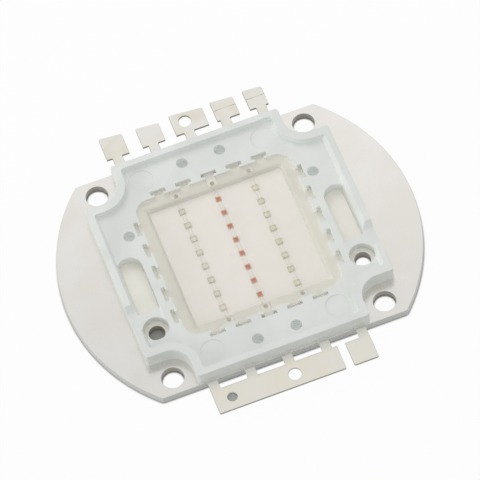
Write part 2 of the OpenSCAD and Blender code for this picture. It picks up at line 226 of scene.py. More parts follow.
class LED_PG_moulding(bpy.types.PropertyGroup):
    """Finish of the moulded frame"""

    plastic: colour("Plastic", "Moulded plastic", 219, 222, 218)
    flow: colour("Flow", "Paler streaks where the plastic flowed", 225, 228, 224)
    # Painted light: paler plastic in hollows, standing in for light that seeps through the plastic
    hollow: colour("Hollows", "Plastic in hollows, where light seeps through it", 252, 255, 254)
    # Reach of the openness measure that places that painted light
    painted_light_reach: length("Seep", "Distance that light seeps through the plastic", 2.5)
    floor_level: length("Floor level", "Height under which a hollow outside the tray is a blind hole", 3)
    window_reach: length("Window reach", "Reach of the side windows' round ends from the middle", 4.8)
    opening_reach: length("Opening reach", "Reach of the openings round the locating holes", 2.2)
    flow_size: length("Flow size", "Size of the flow streaks", 7)
    grain_size: length("Grain size", "Size of the mould's grain", 0.16)
    roughness: share("Roughness", "Roughness of the plastic", 0.5)
    rim_edge: length("Rim edge", "Rounding along the top of the rim", 0.08)
    corner_edge: length("Corner edge", "Rounding of the upright corners", 0.08)
    floor_edge: length("Floor edge", "Rounding of the lower edges", 0.03)
    pocket_edge: length("Pocket corner", "Rounding of the die pocket's upright corners", 0.5)


class LED_PG_leads(bpy.types.PropertyGroup):
    """Finish of the lead strip"""

    far_face: colour("Far leads", "Plating on the separate tabs", 241, 239, 233)
    near_face: colour("Near leads", "Plating on the joined bar and its neighbour", 233, 231, 222)
    tarnish: colour("Tarnish", "Warm patches on the plating", 235, 229, 215)
    # Painted reflection: grey of the moulding's near wall on the necks close to it
    neck_reflection: colour("Necks", "Greyer plating close to the moulding's near wall", 198, 199, 192)
    # Painted reflection: pale plating right at that wall
    root: colour("Roots", "Plating right at that wall, where it mirrors the wall", 240, 240, 236)
    # Reach from the wall of that painted reflection
    reflection_reach: length("Neck reach", "Distance from the wall over which the plating is greyer", 3)
    wall: colour("Wall", "Sheared walls of the strip", 136, 131, 122)
    dull: colour("Dull", "Matt lead ends in the tray", 229, 232, 231)
    dull_patch: colour("Dull patch", "Darker patches on those ends", 225, 228, 226)
    patch_size: length("Patch size", "Size of the tarnished patches", 5.8)
    scratch_gap: length("Scratch gap", "Distance between the fine rolling lines", 0.1)
    roughness: share("Roughness", "Roughness of the plated face", 0.16)
    edge: length("Edge", "Rounding left by the shear along the strip's edges", 0.08)
    score: length("Score", "Depth of the score along a folded tab's bend", 0.05)


class LED_PG_dies(bpy.types.PropertyGroup):
    """Looks of the dies"""

    blue_body: colour("Blue body", "Body of a blue die", 210, 212, 206)
    blue_mesa: colour("Blue mesa", "Lit face of a blue die", 227, 229, 221)
    red_body: colour("Red body", "Body of a red die", 218, 178, 162)
    red_mesa: colour("Red mesa", "Lit face of a red die", 204, 136, 116)
    green_body: colour("Green body", "Body of a green die", 210, 214, 194)
    green_mesa: colour("Green mesa", "Lit face of a green die", 228, 231, 213)
    pad: colour("Pads", "Bond pads on the dies", 220, 206, 180)
    mesa_inset: length("Mesa inset", "Margin of the body round the lit face", 0.12)
    mesa_rise: length("Mesa rise", "Rise of the lit face above the body", 0.012)
    pad_d: length("Pad diameter", "Diameter of a bond pad", 0.16)


class LED_PG_wires(bpy.types.PropertyGroup):
    """Sizes and looks of the bond wires"""

    gold: colour("Wire", "Bond wire", 240, 235, 222)
    stitch: colour("Stitch", "Stitch spots on the leads", 214, 214, 206)
    diameter: length("Diameter", "Diameter of a wire", 0.05)
    gap: length("Gap", "Distance between the two wires of a pair", 0.5)
    foot: length("Foot", "Distance of a wire's foot from the middle of its die", 0.3)
    rise: length("Rise", "Rise of a loop between two dies", 0.3)
    end_rise: length("End rise", "Rise of a loop from a die to its lead, above the lead", 0.3)
    ball_d: length("Ball diameter", "Diameter of the ball at a wire's foot", 0.1)
    stitch_rise: length("Stitch rise", "Height of a stitch spot", 0.06)


class LED_PG_silicone(bpy.types.PropertyGroup):
    """Looks of the clear filling"""

    tint: colour("Tint", "Colour that the silicone gives to what lies under it", 247, 234, 216)
    index: FloatProperty(name="Index", description="Refractive index", default=1.41, min=1, max=2)
    seat: length("Seat", "Depth to which the filling's sides and bottom sit in their walls", 0.02)


class LED_PG_studio(bpy.types.PropertyGroup):
    """Camera, lamps and floor"""

    azimuth: angle("Azimuth", "Turn of the camera round the module", -13.188)
    elevation: angle("Elevation", "Height of the camera above the horizon", 59.079)
    roll: angle("Roll", "Turn of the camera about its own axis", -8.3225)
    distance: FloatProperty(name="Distance", description="Distance from the camera to its aim",
                            default=0.601917, min=0, unit="LENGTH")
    aim: FloatVectorProperty(name="Aim", description="Point that the camera looks at", size=3,
                             subtype="TRANSLATION", default=(0.53 * MM, 0.97 * MM, 2 * MM))
    lens: FloatProperty(name="Lens", description="Focal length on a 36 mm sensor, in millimetres",
                        default=296.86, min=1)
    fill: share("Fill", "Strength of the light from all round", 0.755, 2)
    sheen: share("Sheen", "Brightness of the studio as metal mirrors it", 0.88)
    key: power("Key", "Power of the soft lamp above", 0.058)
    front: power("Front", "Power of the low lamp on the near side", 0.05)
    side: power("Side", "Power of the low lamp on the left", 1.05)
    paper: colour("Paper", "Floor", 200, 200, 199)
    # Reach of the painted shade where the module meets the floor
    contact_shade: length("Contact", "Reach of the shade where the module meets the floor", 0.4)
    # Painted shade: grey card that shows as the dark inside of the bar's small hole
    shade_card: colour("Card", "Card under the joined bar's small hole", 178, 178, 174)
    glow: share("Glow", "Share of plain white in the floor as the camera sees it", 0.96)


def settings(name):
    """The settings of one step, as the scene holds them."""
    return getattr(bpy.context.scene, "led_" + name)


def linked(name, data):
    """A new object in the scene with this mesh, camera or lamp."""
    piece = bpy.data.objects.new(name, data)
    bpy.context.scene.collection.objects.link(piece)
    return piece


def settle(piece):
    """Turns the piece's modifiers into plain mesh."""
    depsgraph = bpy.context.evaluated_depsgraph_get()
    mesh = bpy.data.meshes.new_from_object(piece.evaluated_get(depsgraph))
    piece.modifiers.clear()
    piece.data = mesh


def merged_solid(mesh):
    """The faces of a mesh as a solid to work on, with vertices at one place merged."""
    solid = bmesh.new()
    solid.from_mesh(mesh)
    bmesh.ops.remove_doubles(solid, verts=solid.verts, dist=MERGE_DISTANCE)
    return solid


def join_flat_faces(solid):
    """Makes one face of those that lie in one plane."""
    bmesh.ops.dissolve_limit(solid, angle_limit=FLAT_ANGLE, verts=solid.verts, edges=solid.edges)


def keep(solid, mesh):
    """Writes a solid to a mesh, and frees it."""
    solid.to_mesh(mesh)
    solid.free()
    return mesh


def dress(piece, slot, *nodes):
    """Hides the CAD nodes that a new piece stands for, and hangs the piece under the root body."""
    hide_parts(*nodes)
    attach(piece, "root")


def grown_plan(points, margin):
    """A closed plan, given anticlockwise, moved out by a margin."""
    outer = []
    for before, point, after in zip(points[-1:] + points[:-1], points, points[1:] + points[:1]):
        sides = [(point - before).normalized(), (after - point).normalized()]
        first, second = (Vector((side.y, -side.x, 0)) for side in sides)
        outer.append(point + (first + second) * (margin / (1 + first.dot(second))))
    return outer


def at_level(plan, z):
    """A plan's points at a height."""
    return [Vector((point.x, point.y, z)) for point in plan]


def stacked(name, *bodies):
    """Closed bodies, each through rings of points, lowest first, each anticlockwise from above."""
    solid = bmesh.new()
    for rings in bodies:
        rows = [[solid.verts.new(point) for point in ring] for ring in rings]
        solid.faces.new(reversed(rows[0]))
        solid.faces.new(rows[-1])
        for low, high in zip(rows, rows[1:]):
            for i in range(len(low)):
                solid.faces.new((low[i - 1], low[i], high[i], high[i - 1]))
    return linked(name, keep(solid, bpy.data.meshes.new(name)))


def drop_slivers(mesh):
    """Merges what a bevel leaves closer together than the model's own precision."""
    solid = merged_solid(mesh)
    bmesh.ops.dissolve_degenerate(solid, edges=solid.edges, dist=MERGE_DISTANCE)
    keep(solid, mesh)


def edge_room(edge):
    """How far the faces on both sides of an edge, and the edges at its ends, reach from it."""
    start = edge.verts[0].co
    along = (edge.verts[1].co - start).normalized()

    def off_line(point):
        offset = point - start
        return (offset - along * offset.dot(along)).length

    reaches = [max(off_line(vert.co) for vert in face.verts) for face in edge.link_faces]
    for vert in edge.verts:
        for side in vert.link_edges:
            away = off_line(side.other_vert(vert).co)
            if away > LEAVING_SHARE * side.calc_length():
                reaches.append(away)
    return min(reaches)


def sharp_edges(solid):
    """Edges whose two faces meet at more than the sharp angle."""
    return [edge for edge in solid.edges
            if len(edge.link_faces) == 2 and edge.calc_face_angle() > SHARP_ANGLE]


def cut_ends(solid):
    """Cuts each long sharp edge near its ends, so that a tight corner narrows only the ends."""
    for edge in sharp_edges(solid):
        if edge.calc_length() > ENDS_TO_CUT * END_LENGTH:
            for vert in tuple(edge.verts):
                bmesh.utils.edge_split(edge, vert, END_LENGTH / edge.calc_length())


def bends_on(first, second):
    """Whether two edges at one vertex run on from each other in a curve."""
    vert = next(v for v in first.verts if v in second.verts)
    ways = [edge.other_vert(vert).co - vert.co for edge in (first, second)]
    turn = math.pi - ways[0].angle(ways[1])
    return STRAIGHT_ANGLE < turn < CURVE_ANGLE


def even_radii(radii):
    """Gives all edges of one curve the smallest radius among them, or none if that is tiny."""
    left = set(radii)
    while left:
        curve, ends = [], [left.pop()]
        while ends:
            edge = ends.pop()
            curve.append(edge)
            near = {side for vert in edge.verts for side in vert.link_edges if side in left}
            onward = {side for side in near if bends_on(edge, side)}
            left -= onward
            ends.extend(onward)
        radius = min(radii[edge] for edge in curve)
        for edge in curve:
            radii[edge] = radius if radius > LEAST_RADIUS else 0.0


def rounded_copy(node, name, rounding, sharp_above):
    """A copy of a CAD node with flat faces joined and its edges rounded.

    rounding(edge) gives the radius that an edge would have if its faces leave it room.
    Faces that meet at more than sharp_above keep a crease.
    """
    mesh = NODES[node].data.copy()
    mesh.materials.clear()
    solid = merged_solid(mesh)
    join_flat_faces(solid)
    cut_ends(solid)
    weights = solid.edges.layers.float.new("bevel_weight_edge")
    radii = {edge: min(rounding(edge), ROOM_SHARE * edge_room(edge)) for edge in sharp_edges(solid)}
    even_radii(radii)
    widest = max(radii.values())
    for edge, radius in radii.items():
        edge[weights] = radius / widest
    keep(solid, mesh)
    mesh.shade_smooth()
    piece = linked(name, mesh)
    bevel = piece.modifiers.new("Rounded edges", "BEVEL")
    bevel.width = widest
    bevel.segments = ROUND_STEPS
    bevel.limit_method = "WEIGHT"
    bevel.miter_outer = "MITER_ARC"
    bevel.use_clamp_overlap = False
    bevel.loop_slide = False
    settle(piece)
    drop_slivers(piece.data)
    piece.data.set_sharp_from_angle(angle=sharp_above)
    even = piece.modifiers.new("Even faces", "WEIGHTED_NORMAL")
    even.weight = FACE_WEIGHT
    even.keep_sharp = True
    settle(piece)
    return piece


def new_tree(name, kind, inputs, outputs):
    """A node tree with named sockets of these kinds, and its input and output nodes."""
    tree = bpy.data.node_groups.new(name, kind)
    for way, sockets in (("INPUT", inputs), ("OUTPUT", outputs)):
        for label, socket_kind in sockets.items():
            tree.interface.new_socket(label, in_out=way, socket_type="NodeSocket" + socket_kind)
    return tree, tree.nodes.new("NodeGroupInput"), tree.nodes.new("NodeGroupOutput")


def wired(tree, kind, inputs=None, **attributes):
    """A new node with its attributes set, and its inputs linked or given a value."""
    node = tree.nodes.new(kind)
    for name, value in attributes.items():
        setattr(node, name, value)
    for key, value in (inputs or {}).items():
        if isinstance(value, bpy.types.NodeSocket):
            tree.links.new(value, node.inputs[key])
        else:
            node.inputs[key].default_value = value
    return node


def first_out(tree, kind, inputs=None, **attributes):
    """What a new node puts out first."""
    return wired(tree, kind, inputs, **attributes).outputs[0]


def arithmetic(tree, operation, *values):
    """A number worked out from others."""
    return first_out(tree, "ShaderNodeMath", dict(enumerate(values)), operation=operation)


def vector_math(tree, operation, *values):
    """A vector, or a number for some operations, worked out from vectors."""
    node = wired(tree, "ShaderNodeVectorMath", dict(enumerate(values)), operation=operation)
    return node.outputs["Value" if operation in NUMBER_OPERATIONS else "Vector"]


def vector(tree, x=0.0, y=0.0, z=0.0):
    """A vector put together from numbers."""
    return first_out(tree, "ShaderNodeCombineXYZ", {0: x, 1: y, 2: z})


def object_place(tree):
    """Where a point of the surface lies in the model's frame."""
    return wired(tree, "ShaderNodeTexCoord").outputs["Object"]


def ranged(tree, value, start, end, **attributes):
    """A mask that rises from 0 to 1 as a value goes from start to end."""
    limits = {"Value": value, "From Min": start, "From Max": end}
    return wired(tree, "ShaderNodeMapRange", limits, **attributes).outputs["Result"]


def varied(tree, mask, low, high):
    """A number that goes from low to high as the mask rises."""
    limits = {"Value": mask, "To Min": low, "To Max": high}
    return wired(tree, "ShaderNodeMapRange", limits).outputs["Result"]


def openness(tree, reach, own=False):
    """How open a place is, 1 being fully open, with only the piece itself in the way or all pieces."""
    node = wired(tree, "ShaderNodeAmbientOcclusion", {"Distance": reach},
                 only_local=own, samples=OPENNESS_RAYS)
    return node.outputs["AO"]


def any_ray(tree, *kinds):
    """1 for a ray of any of these kinds, and 0 for others."""
    path = wired(tree, "ShaderNodeLightPath")
    found, *others = (path.outputs[f"Is {kind} Ray"] for kind in kinds)
    for other in others:
        found = arithmetic(tree, "MAXIMUM", found, other)
    return found


def blended(tree, mask, first, second, blend_type="MIX"):
    """A colour that goes from the first to the second, or is tinted by it, as the mask rises."""
    mix = wired(tree, "ShaderNodeMix", {"Factor": mask}, data_type="RGBA", blend_type=blend_type)
    for socket, value in (("A", first), ("B", second)):
        target = next(s for s in mix.inputs if s.name == socket and s.type == "RGBA")
        if isinstance(value, bpy.types.NodeSocket):
            tree.links.new(value, target)
        else:
            target.default_value = (*value, 1)
    return next(s for s in mix.outputs if s.type == "RGBA")


def patches_group():
    """Soft patches of a given size, as a mask."""
    group, given, result = new_tree(
        "Soft patches", "ShaderNodeTree", {"Vector": "Vector", "Size": "Float"}, {"Mask": "Float"},
    )
    noise = wired(group, "ShaderNodeTexNoise", {
        "Vector": given.outputs["Vector"],
        "Scale": arithmetic(group, "DIVIDE", 1.0, given.outputs["Size"]),
        "Detail": 2.5, "Roughness": 0.55, "Distortion": 0.6,
    })
    mask = ranged(group, noise.outputs["Fac"], start=0.36, end=0.66, interpolation_type="SMOOTHSTEP")
    group.links.new(mask, result.inputs["Mask"])
    return group


def rolling_group():
    """Fine lines left by rolling along Y, as a height and as a mask."""
    group, given, result = new_tree(
        "Rolling lines", "ShaderNodeTree", {"Vector": "Vector", "Gap": "Float"},
        {"Height": "Float", "Mask": "Float"},
    )
    noise = wired(group, "ShaderNodeTexNoise", {
        "Vector": vector_math(group, "MULTIPLY", given.outputs["Vector"], DRAWN_OUT),
        "Scale": arithmetic(group, "DIVIDE", 1.0, given.outputs["Gap"]),
        "Detail": 3.0, "Roughness": 0.6,
    })
    mask = ranged(group, noise.outputs["Fac"], start=0.3, end=0.7)
    group.links.new(noise.outputs["Fac"], result.inputs["Height"])
    group.links.new(mask, result.inputs["Mask"])
    return group


def walls_group():
    """Faces that stand up, such as sheared walls and their rounded edges, as a mask."""
    group, _, result = new_tree("Upright walls", "ShaderNodeTree", {}, {"Mask": "Float"})
    surface = wired(group, "ShaderNodeNewGeometry")
    parts = wired(group, "ShaderNodeSeparateXYZ", {0: surface.outputs["Normal"]})
    level = arithmetic(group, "ABSOLUTE", parts.outputs["Z"])
    group.links.new(ranged(group, level, start=0.97, end=0.72), result.inputs["Mask"])
    return group


def inner_group():
    """The room round the middle, out to given reaches along X and Y and above a level, as a mask."""
    group, given, result = new_tree(
        "Inner room", "ShaderNodeTree",
        {"Vector": "Vector", "Reach X": "Float", "Reach Y": "Float", "Lowest": "Float"},
        {"Mask": "Float"},
    )
    parts = wired(group, "ShaderNodeSeparateXYZ", {0: given.outputs["Vector"]})
    mask = arithmetic(group, "GREATER_THAN", parts.outputs["Z"], given.outputs["Lowest"])
    for axis in ("X", "Y"):
        away = arithmetic(group, "ABSOLUTE", parts.outputs[axis])
        inside = arithmetic(group, "LESS_THAN", away, given.outputs["Reach " + axis])
        mask = arithmetic(group, "MULTIPLY", mask, inside)
    group.links.new(mask, result.inputs["Mask"])
    return group


def placed_group(tree, build, inputs=None):
    """A node that holds the group which a function builds, built once."""
    if build not in GROUPS:
        GROUPS[build] = build()
    return wired(tree, "ShaderNodeGroup", inputs, node_tree=GROUPS[build])


def patches(tree, size):
    """The mask of soft patches of a size."""
    node = placed_group(tree, patches_group, {"Vector": object_place(tree), "Size": size})
    return node.outputs["Mask"]


def upright_walls(tree):
    """The mask of faces that stand up."""
    return placed_group(tree, walls_group).outputs["Mask"]


def inner_room(tree, place, reach_x, reach_y=TRAY_REACH, lowest=PLATE_TOP / 2):
    """The mask of the room round the middle, off the plate's underside unless a level is given."""
    node = placed_group(tree, inner_group, {
        "Vector": place, "Reach X": reach_x, "Reach Y": reach_y, "Lowest": lowest,
    })
    return node.outputs["Mask"]


def principled(tree):
    """The Principled shader of a material."""
    return tree.nodes["Principled BSDF"]


def new_material(name, **constants):
    """A material with one Principled shader, whose named sockets take these constants."""
    material = bpy.data.materials.new(name)
    material.use_nodes = True
    tree = material.node_tree
    for socket, value in constants.items():
        principled(tree).inputs[socket.replace("_", " ")].default_value = value
    return material, tree


def feed(tree, name, value):
    """Links a value to a named socket of a material's shader."""
    tree.links.new(value, principled(tree).inputs[name])


def fed(tree, name):
    """What is linked to a named socket of a material's shader."""
    return principled(tree).inputs[name].links[0].from_socket


def toned(tree, mask, tone, blend_type="MIX"):
    """Lets a material's colour go to a tone, or be tinted by it, as the mask rises."""
    feed(tree, "Base Color", blended(tree, mask, fed(tree, "Base Color"), tone, blend_type))


def two_shaders(tree, mask, first, second):
    """Lets a material go from the first shader to the second as the mask rises."""
    mix = first_out(tree, "ShaderNodeMixShader", {0: mask, 1: first, 2: second})
    tree.links.new(mix, tree.nodes["Material Output"].inputs["Surface"])


def uneven(tree, mask, roughness, spread):
    """Lets a material's roughness differ by a spread to both sides as the mask rises."""
    feed(tree, "Roughness", varied(tree, mask, roughness - spread, roughness + spread))


def relief(tree, height, strength, depth):
    """Lets light fall on a material as if its surface had this height."""
    bump = {"Height": height, "Strength": strength, "Distance": depth}
    feed(tree, "Normal", wired(tree, "ShaderNodeBump", bump).outputs["Normal"])


def plated_material(name, look, face, patch):
    """Plated sheet metal: soft patches, fine rolling lines and darker sheared walls."""
    material, tree = new_material(name)
    place = object_place(tree)
    rolling = placed_group(tree, rolling_group, {"Vector": place, "Gap": look.scratch_gap})
    walls = upright_walls(tree)
    feed(tree, "Base Color", blended(tree, patches(tree, look.patch_size), face, patch))
    toned(tree, walls, look.wall)
    uneven(tree, rolling.outputs["Mask"], look.roughness, spread=0.04)
    feed(tree, "Metallic", varied(tree, walls, 1.0, SHEARED_METAL))
    relief(tree, rolling.outputs["Height"], strength=0.05, depth=0.01 * MM)
    return material


def dull_within(tree, reach, tone, worn_tone):
    """Makes a plated material matt inside the moulding, out to a reach along X."""
    inner = inner_room(tree, object_place(tree), reach)
    toned(tree, inner, blended(tree, patches(tree, MATT_PATCH_SIZE), tone, worn_tone))
    left = varied(tree, inner, 1.0, 0.0)
    feed(tree, "Metallic", arithmetic(tree, "MULTIPLY", fed(tree, "Metallic"), left))


def paint_where_closed_in(tree, tone, reach, most_open, least_open, within=None):
    """Paints light or shade into a material's colour: a tone where pieces stand close, inside a mask if
    given.
    """
    mask = ranged(tree, openness(tree, reach), most_open, least_open)
    if within is not None:
        mask = arithmetic(tree, "MULTIPLY", mask, within)
    toned(tree, mask, tone)


def plastic_material():
    """Moulded white plastic: faint flow streaks, a fine grain, and painted light in its hollows, for
    light that seeps through it.
    """
    look = settings("moulding")
    material, tree = new_material("Moulded plastic")
    place = object_place(tree)
    feed(tree, "Base Color", blended(tree, patches(tree, look.flow_size), look.plastic, look.flow))
    # Mask of painted light, rising where the plastic is closed in
    hollow = ranged(tree, openness(tree, look.painted_light_reach, own=True), start=0.95, end=0.1)
    # The tray, and the windows and openings along both sides, have thin walls and take the full painted
    # light in their hollows
    low, high = PIN_Y - look.opening_reach, look.window_reach
    along = vector_math(tree, "SUBTRACT", place, (0, (low + high) / 2, 0))
    sides = inner_room(tree, along, RIM_REACH, (high - low) / 2)
    thin = arithmetic(tree, "MAXIMUM", inner_room(tree, place, TRAY_REACH), sides)
    # Elsewhere a hollow takes less painted light, and least in the blind holes
    height = wired(tree, "ShaderNodeSeparateXYZ", {0: place}).outputs["Z"]
    sunk = arithmetic(tree, "LESS_THAN", height, look.floor_level)
    held_back = varied(tree, sunk, RIM_POWER, BLIND_POWER)
    grade = arithmetic(tree, "POWER", held_back, varied(tree, thin, 1.0, 0.0))
    toned(tree, arithmetic(tree, "POWER", hollow, grade), look.hollow)
    grain = wired(tree, "ShaderNodeTexNoise", {
        "Vector": place, "Scale": 1 / look.grain_size, "Detail": 2.0,
    })
    uneven(tree, grain.outputs["Fac"], look.roughness, spread=0.08)
    relief(tree, grain.outputs["Fac"], strength=0.15, depth=0.02 * MM)
    return material


def wandering_material(name, tone, left, size, **constants):
    """A material with patches of a size in which this share of its brightness is left."""
    material, tree = new_material(name, **constants)
    feed(tree, "Base Color", blended(tree, patches(tree, size), tone, Vector(tone) * left))
    return material


def die_material(name, tone, left):
    """The surface of a die, whose tone wanders a little from die to die."""
    return wandering_material(name, tone, left, size=1.3 * MM, Roughness=0.3, Specular_IOR_Level=0.3)


def thin_metal_material(name, tone, left, roughness):
    """Small metal pieces whose tone wanders along them."""
    return wandering_material(name, tone, left, size=0.8 * MM, Metallic=0.6, Roughness=roughness)


def silicone_material():
    """Clear filling: refracts what the eye sees through it and lets the lamps in."""
    look = settings("silicone")
    material = wandering_material("Clear silicone", look.tint, left=0.985, size=HAZE_SIZE,
                                  Transmission_Weight=1.0, IOR=look.index)
    tree = material.node_tree
    feed(tree, "Roughness", varied(tree, patches(tree, HAZE_SIZE), low=0.01, high=0.04))
    clear = first_out(tree, "ShaderNodeBsdfTransparent")
    two_shaders(tree, any_ray(tree, "Shadow", "Diffuse"), principled(tree).outputs["BSDF"], clear)
    return material


def grown(name, tree, values):
    """The plain mesh object that a Geometry Nodes tree makes from these named values."""
    piece = linked(name, bpy.data.meshes.new(name))
    modifier = piece.modifiers.new("Nodes", "NODES")
    modifier.node_group = tree
    sockets = {s.name: s.identifier for s in tree.interface.items_tree if s.in_out == "INPUT"}
    for label, value in values.items():
        modifier[sockets[label]] = value
    settle(piece)
    return piece


def times(tree, value, factor):
    """A number times another."""
    return arithmetic(tree, "MULTIPLY", value, factor)


def at_points(tree, points, shape):
    """A shape at each of some points."""
    return first_out(tree, "GeometryNodeInstanceOnPoints", {"Points": points, "Instance": shape})


def moved(tree, shape, **offset):
    """A shape moved along X, Y or Z."""
    return first_out(tree, "GeometryNodeTransform", {0: shape, "Translation": vector(tree, **offset)})


def copies(tree, points, shape, material):
    """Copies of a shape at points, as real mesh with a material."""
    real = first_out(tree, "GeometryNodeRealizeInstances", {0: at_points(tree, points, shape)})
    return first_out(tree, "GeometryNodeSetMaterial", {0: real, "Material": material})


def joined(tree, *shapes):
    """Shapes put together."""
    join = wired(tree, "GeometryNodeJoinGeometry")
    for shape in shapes:
        tree.links.new(shape, join.inputs[0])
    return join.outputs[0]


def points_in_line(tree, count, first, step=(0, 0, 0)):
    """Points from the first on, one step apart."""
    line = {"Count": count, "Start Location": first, "Offset": step}
    return first_out(tree, "GeometryNodeMeshLine", line)


def slab_at(tree, width, height, level):
    """A box of square plan with its middle at a level."""
    box = first_out(tree, "GeometryNodeMeshCube", {"Size": vector(tree, width, width, height)})
    return moved(tree, box, z=level)


def loop(tree, steps, start, middle, end):
    """A wire's run from start to end, drawn towards a middle point."""
    points = {"Resolution": steps, "Start": start, "Middle": middle, "End": end}
    return first_out(tree, "GeometryNodeCurveQuadraticBezier", points)


def die_tree():
    """A row of dies: a body, a raised lit face, and four bond pads on each."""
    sizes = ("Pitch", "Width", "Height", "Mesa inset", "Mesa rise", "Pad diameter", "Pad gap", "Pad foot")
    inputs = {"Count": "Int", "First": "Vector", **dict.fromkeys(sizes, "Float"),
              **dict.fromkeys(("Body", "Mesa", "Pads"), "Material")}
    tree, given, result = new_tree("Row of dies", "GeometryNodeTree", inputs, {"Geometry": "Geometry"})
    value = given.outputs
    back = vector(tree, y=times(tree, value["Pitch"], -1.0))
    row = points_in_line(tree, value["Count"], value["First"], back)
    body = slab_at(tree, value["Width"], value["Height"], times(tree, value["Height"], 0.5))
    lit = arithmetic(tree, "SUBTRACT", value["Width"], times(tree, value["Mesa inset"], 2.0))
    mesa = slab_at(tree, lit, times(tree, value["Mesa rise"], 2.0), value["Height"])
    spots = first_out(tree, "GeometryNodeMeshGrid", {
        "Size X": value["Pad gap"], "Size Y": times(tree, value["Pad foot"], 2.0),
        "Vertices X": 2, "Vertices Y": 2,
    })
    pad = first_out(tree, "GeometryNodeMeshCylinder", {
        "Vertices": 12, "Radius": times(tree, value["Pad diameter"], 0.5),
        "Depth": times(tree, value["Mesa rise"], 3.0),
    })
    pads = moved(tree, at_points(tree, spots, pad), z=value["Height"])
    whole = joined(
        tree,
        copies(tree, row, body, value["Body"]),
        copies(tree, row, mesa, value["Mesa"]),
        copies(tree, row, pads, value["Pads"]),
    )
    tree.links.new(whole, result.inputs[0])
    return tree


def wire_tree():
    """The bond wires of one string: a pair over each gap, a pair to each lead, and their feet."""
    sizes = ("Pitch", "Foot", "Pair gap", "Diameter", "Rise", "End rise", "Ball diameter")
    places = ("First", "Last", "Far stitch", "Near stitch", "Stitch size")
    inputs = {"Gaps": "Int", **dict.fromkeys(sizes, "Float"), **dict.fromkeys(places, "Vector"),
              "Wire": "Material", "Stitch": "Material"}
    tree, given, result = new_tree("Bond wires", "GeometryNodeTree", inputs, {"Geometry": "Geometry"})
    value = given.outputs
    back = times(tree, value["Pitch"], -1.0)
    minus_foot = times(tree, value["Foot"], -1.0)
    row = points_in_line(tree, value["Gaps"], value["First"], vector(tree, y=back))
    gap_loop = loop(
        tree,
        steps=12,
        start=vector(tree, y=minus_foot),
        middle=vector(tree, y=times(tree, back, 0.5), z=times(tree, value["Rise"], 2.0)),
        end=vector(tree, y=arithmetic(tree, "ADD", back, value["Foot"])),
    )
    runs, feet = [at_points(tree, row, gap_loop)], []
    lift = vector(tree, z=times(tree, value["End rise"], 2.0))
    ends = (("First", "Far stitch", value["Foot"]), ("Last", "Near stitch", minus_foot))
    for die, stitch, foot in ends:
        start = vector_math(tree, "ADD", value[die], vector(tree, y=foot))
        both = vector_math(tree, "ADD", start, value[stitch])
        halfway = vector_math(tree, "MULTIPLY", both, (0.5, 0.5, 0.5))
        middle = vector_math(tree, "ADD", halfway, lift)
        runs.append(loop(tree, steps=16, start=start, middle=middle, end=value[stitch]))
        feet.append(points_in_line(tree, 1, value[stitch]))
    pair = points_in_line(tree, 2, vector(tree, x=times(tree, value["Pair gap"], -0.5)),
                          vector(tree, x=value["Pair gap"]))
    paired = at_points(tree, pair, joined(tree, *runs))
    tubes = first_out(tree, "GeometryNodeCurveToMesh", {
        "Curve": first_out(tree, "GeometryNodeRealizeInstances", {0: paired}),
        "Profile Curve": first_out(tree, "GeometryNodeCurvePrimitiveCircle", {
            "Resolution": 6, "Radius": times(tree, value["Diameter"], 0.5),
        }),
        "Fill Caps": True,
    })
    ball = first_out(tree, "GeometryNodeMeshIcoSphere", {
        "Radius": times(tree, value["Ball diameter"], 0.5), "Subdivisions": 1,
    })
    balls = at_points(tree, row, moved(tree, ball, y=minus_foot))
    dab = first_out(tree, "GeometryNodeMeshUVSphere", {"Segments": 16, "Rings": 8, "Radius": 0.5})
    dab = first_out(tree, "GeometryNodeTransform", {0: dab, "Scale": value["Stitch size"]})
    whole = joined(
        tree,
        first_out(tree, "GeometryNodeSetMaterial", {0: tubes, "Material": value["Wire"]}),
        copies(tree, pair, balls, value["Wire"]),
        copies(tree, joined(tree, *feet), dab, value["Stitch"]),
    )
    tree.links.new(whole, result.inputs[0])
    return tree


def dies_of(string):
    """The names of a string's dies, from the far side on, and the distance from one to the next."""
    nodes = sorted(name for name in NODES if name.startswith(string + "_die_"))
    return nodes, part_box(nodes[0])[0].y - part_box(nodes[1])[0].y


def middle_at(node, z):
    """The middle of a node's plan, at a height."""
    low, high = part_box(node)
    return Vector(((low.x + high.x) / 2, (low.y + high.y) / 2, z))


